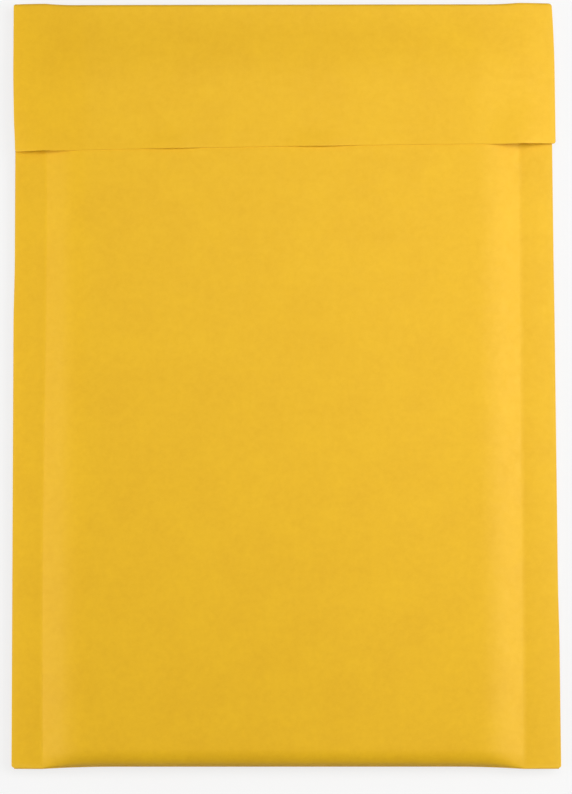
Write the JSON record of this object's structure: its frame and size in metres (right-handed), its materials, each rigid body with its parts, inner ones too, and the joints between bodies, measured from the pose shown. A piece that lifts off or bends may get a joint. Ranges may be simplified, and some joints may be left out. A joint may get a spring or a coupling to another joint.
{
  "type": "padded envelope",
  "caption": "Padded mailing envelope of golden kraft paper: a cushioned pocket with a rounded bottom fold, flat side seams and a flap stuck down over its front.",
  "frame": {"origin": "middle of the outline, on the surface that the envelope lies on", "axes": "+Z out of the flap's side, +Y along the length towards the flap's fold, +X to the right as the flap's side is looked at with its fold at the top"},
  "size_m": [0.1986, 0.279, 0.0095],
  "materials": {
    "kraft_paper": "matte"
  },
  "bodies": {
    "root": {"envelope": "kraft_paper"}
  },
  "joints": []
}
